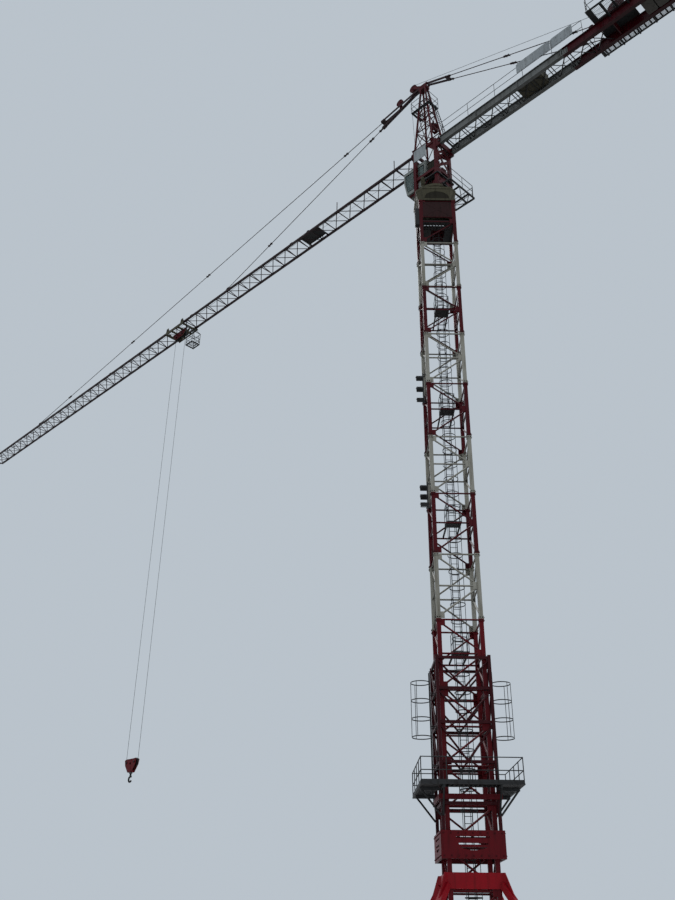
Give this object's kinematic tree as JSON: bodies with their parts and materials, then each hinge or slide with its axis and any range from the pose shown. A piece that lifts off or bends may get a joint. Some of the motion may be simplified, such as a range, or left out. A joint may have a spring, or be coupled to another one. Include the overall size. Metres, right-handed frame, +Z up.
{
  "type": "tower crane, 1:2 scale model",
  "caption": "Half-size model of a tower crane: banded lattice mast, slewing head with cab, level trolley jib held by ties, counter-jib, and a hook block on two falls of rope.",
  "frame": {"origin": "on the mast's axis, on the flat underside of the base's hub, level with the undersides of the four feet", "axes": "+Z up along the mast; the mast's faces look along X and Y, its front along -Y; at rest the jib points to 134.1 degrees from +X, towards -X and +Y"},
  "size_m": [28.1233, 28.7903, 27.3919],
  "materials": {
    "red_paint": "satin, dulled by weather",
    "white_paint": "satin, grey-white",
    "olive_paint": "satin, olive grey",
    "grey_paint": "dull grey",
    "glass": "greenish",
    "board": "satin, bare",
    "ballast": "rough, like concrete",
    "wire_rope": "greased wire",
    "dark_steel": "worn"
  },
  "bodies": {
    "tower": {"base_frame": "red_paint", "base_struts": "red_paint", "mast_foot_sections": "red_paint", "mast_red_sections": "red_paint", "mast_white_sections": "white_paint", "mast_ladder": "grey_paint", "ladder_hoops": "grey_paint", "rest_platforms": "grey_paint", "floodlights": "grey_paint", "climbing_frame": "red_paint", "climbing_collars": "red_paint", "climbing_deck": "grey_paint", "climbing_railing": "grey_paint", "side_ladders": "grey_paint", "top_landing": "grey_paint", "mast_head": "red_paint", "slewing_collar": "olive_paint"},
    "upper_works": {"turntable": "olive_paint", "crane_head": "red_paint", "head_balcony": "grey_paint", "cab_shell": "white_paint", "cab_glazing": "glass", "tower_top": "red_paint", "top_bracing": "red_paint", "top_gallery": "grey_paint", "top_ladder": "grey_paint", "rope_sheaves": "red_paint", "sign_boards": "board", "jib_part_1": "red_paint", "jib_part_2": "red_paint", "jib_part_3": "red_paint", "jib_part_4": "red_paint", "jib_part_5": "red_paint", "trolley_winch": "grey_paint", "long_tie": "red_paint", "short_tie": "red_paint", "counter_ties": "red_paint", "hoist_rope": "wire_rope", "counter_girders": "white_paint", "counter_girder_ends": "red_paint", "counter_bracing": "grey_paint", "counter_railing": "grey_paint", "control_cabinet": "olive_paint", "winch_deck": "grey_paint", "hoist_winch": "red_paint", "side_walkway": "grey_paint", "counterweights": "ballast"},
    "trolley": {"trolley_frame": "olive_paint", "trolley_wheels": "dark_steel", "inspection_basket": "grey_paint", "rope_falls": "wire_rope"},
    "hook_block": {"hook_block": "red_paint", "block_sheaves": "dark_steel"},
    "hook": {"hook": "dark_steel"}
  },
  "joints": [
    {"name": "slew", "type": "hinge", "parent": "tower", "child": "upper_works", "pos_m": [0, 0, 21.588], "axis": [0, 0, 1], "continuous": true},
    {"name": "trolley_travel", "type": "slide", "parent": "upper_works", "child": "trolley", "axis": [-0.6959, 0.7181, 0], "range_m": [-11, 16]},
    {"name": "hoist", "type": "slide", "parent": "trolley", "child": "hook_block", "axis": [0, 0, 1], "range_m": [-5.2, 16], "deforming": ["rope_falls"]},
    {"name": "hook_swivel", "type": "hinge", "parent": "hook_block", "child": "hook", "pos_m": [-9.6036, 9.91014, 5.785], "axis": [0, 0, 1], "continuous": true}
  ]
}
